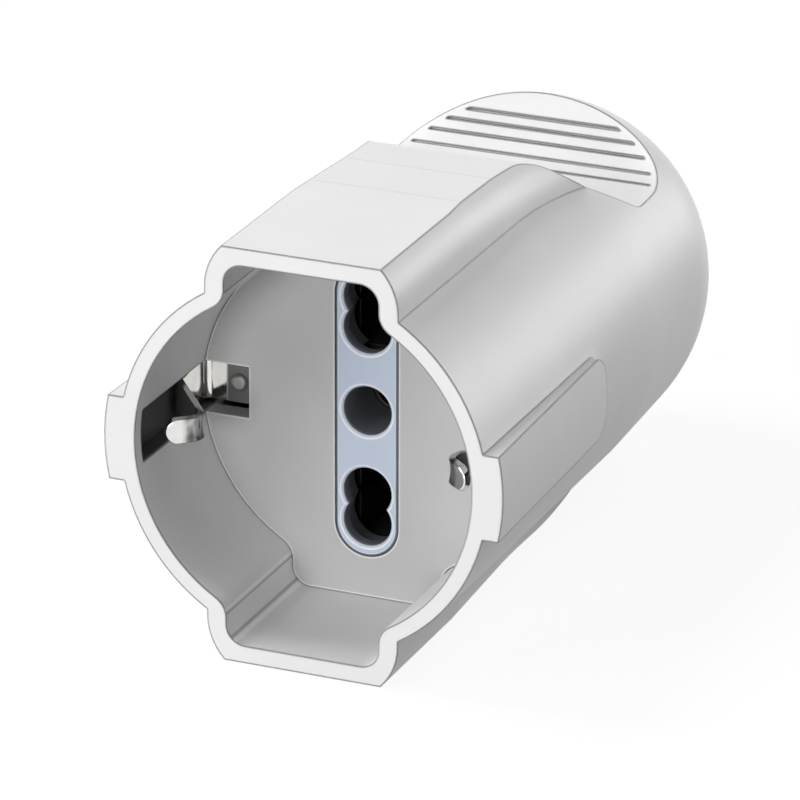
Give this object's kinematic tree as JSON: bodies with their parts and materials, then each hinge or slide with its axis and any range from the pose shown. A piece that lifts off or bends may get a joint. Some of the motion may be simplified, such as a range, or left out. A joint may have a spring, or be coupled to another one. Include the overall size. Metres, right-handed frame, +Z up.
{
  "type": "inline socket connector",
  "caption": "Round inline socket with lobed recess, side earth contacts, pin-hole insert, thumb grooves with grip lines and a rear cord inlet.",
  "frame": {"origin": "centre of the earth pin hole on the face of the insert where a plug lands", "axes": "+Y from the mouth back into the body, +X to the right seen from the mouth, +Z up through the upper lobe"},
  "size_m": [0.0462, 0.087, 0.0476],
  "materials": {
    "white_plastic": "satin moulded",
    "floor_plastic": "satin moulded",
    "insert_plastic": "satin moulded",
    "core_plastic": "matt moulded",
    "nickel": "nickel plated",
    "brass": "bright",
    "steel": "zinc plated"
  },
  "bodies": {
    "root": {"housing_sleeve": "white_plastic", "face_plate": "floor_plastic", "aperture_insert": "insert_plastic", "contact_carrier": "core_plastic", "left_earth_clip": "nickel", "right_earth_clip": "nickel", "left_clip_rivet": "nickel", "right_clip_rivet": "nickel", "earth_strap": "brass", "earth_socket_contact": "brass", "live_contact": "brass", "neutral_contact": "brass", "live_terminal": "brass", "neutral_terminal": "brass", "earth_terminal": "brass", "live_terminal_screw": "steel", "neutral_terminal_screw": "steel", "earth_terminal_screw": "steel", "plate_screws": "steel", "cord_clamp_bar": "core_plastic", "cord_clamp_screws": "steel", "retaining_screw": "steel", "retaining_nut": "steel"}
  },
  "joints": []
}
